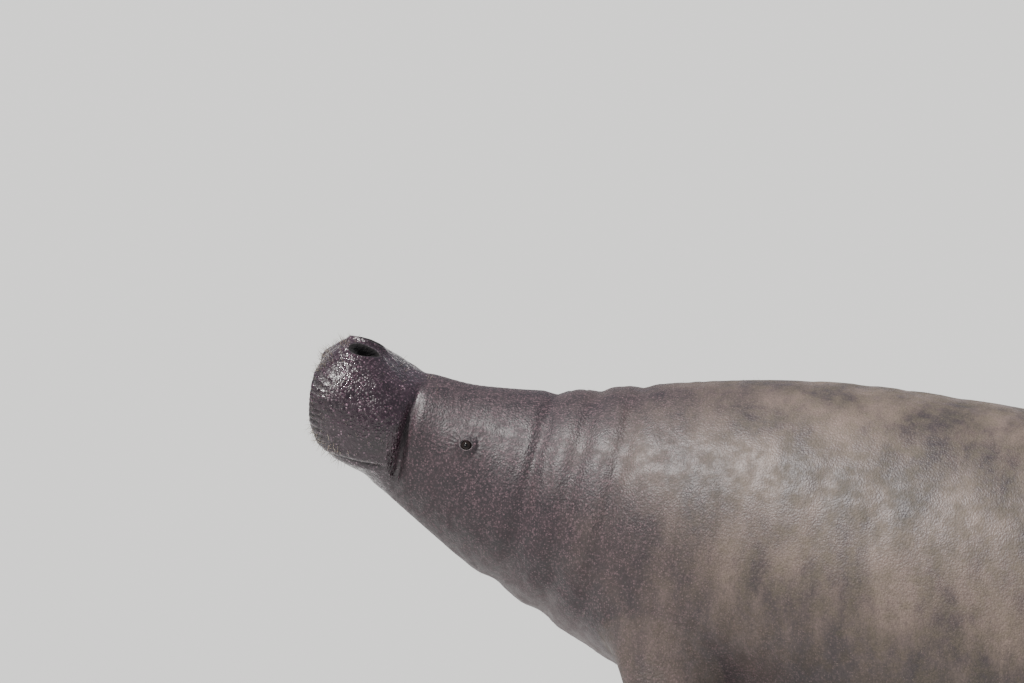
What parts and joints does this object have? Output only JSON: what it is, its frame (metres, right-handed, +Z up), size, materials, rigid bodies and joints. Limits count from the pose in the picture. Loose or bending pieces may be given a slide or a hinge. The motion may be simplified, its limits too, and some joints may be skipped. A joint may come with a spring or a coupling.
{
  "type": "manatee",
  "caption": "Life-size manatee lifting its muzzle as if to breathe, flippers hanging and paddle tail trailing low, held over a flat display stand.",
  "frame": {"origin": "centre of the underside of the stand's base, on the floor", "axes": "+Z up; the animal lies along X with its head towards -X and its tail towards +X; its left side faces -Y"},
  "size_m": [2.9106, 0.867, 1.1695],
  "materials": {
    "skin": "wet, finely wrinkled",
    "muzzle_skin": "wet, pebbled",
    "back_skin": "wet, rough, tinted by algae",
    "eye": "glossy",
    "nail": "horn",
    "stand_paint": "satin paint",
    "stand_steel": "brushed"
  },
  "bodies": {
    "root": {"muzzle": "muzzle_skin", "lower_jaw": "muzzle_skin", "head": "skin", "neck": "skin", "torso": "back_skin", "tail_stock": "back_skin", "tail_paddle": "back_skin", "flipper_left": "skin", "flipper_right": "skin", "eye_left": "eye", "nail_left_1": "nail", "nail_left_2": "nail", "nail_left_3": "nail", "eye_right": "eye", "nail_right_1": "nail", "nail_right_2": "nail", "nail_right_3": "nail", "stand_base": "stand_paint", "stand_rod_front": "stand_steel", "stand_rod_rear": "stand_steel"}
  },
  "joints": []
}
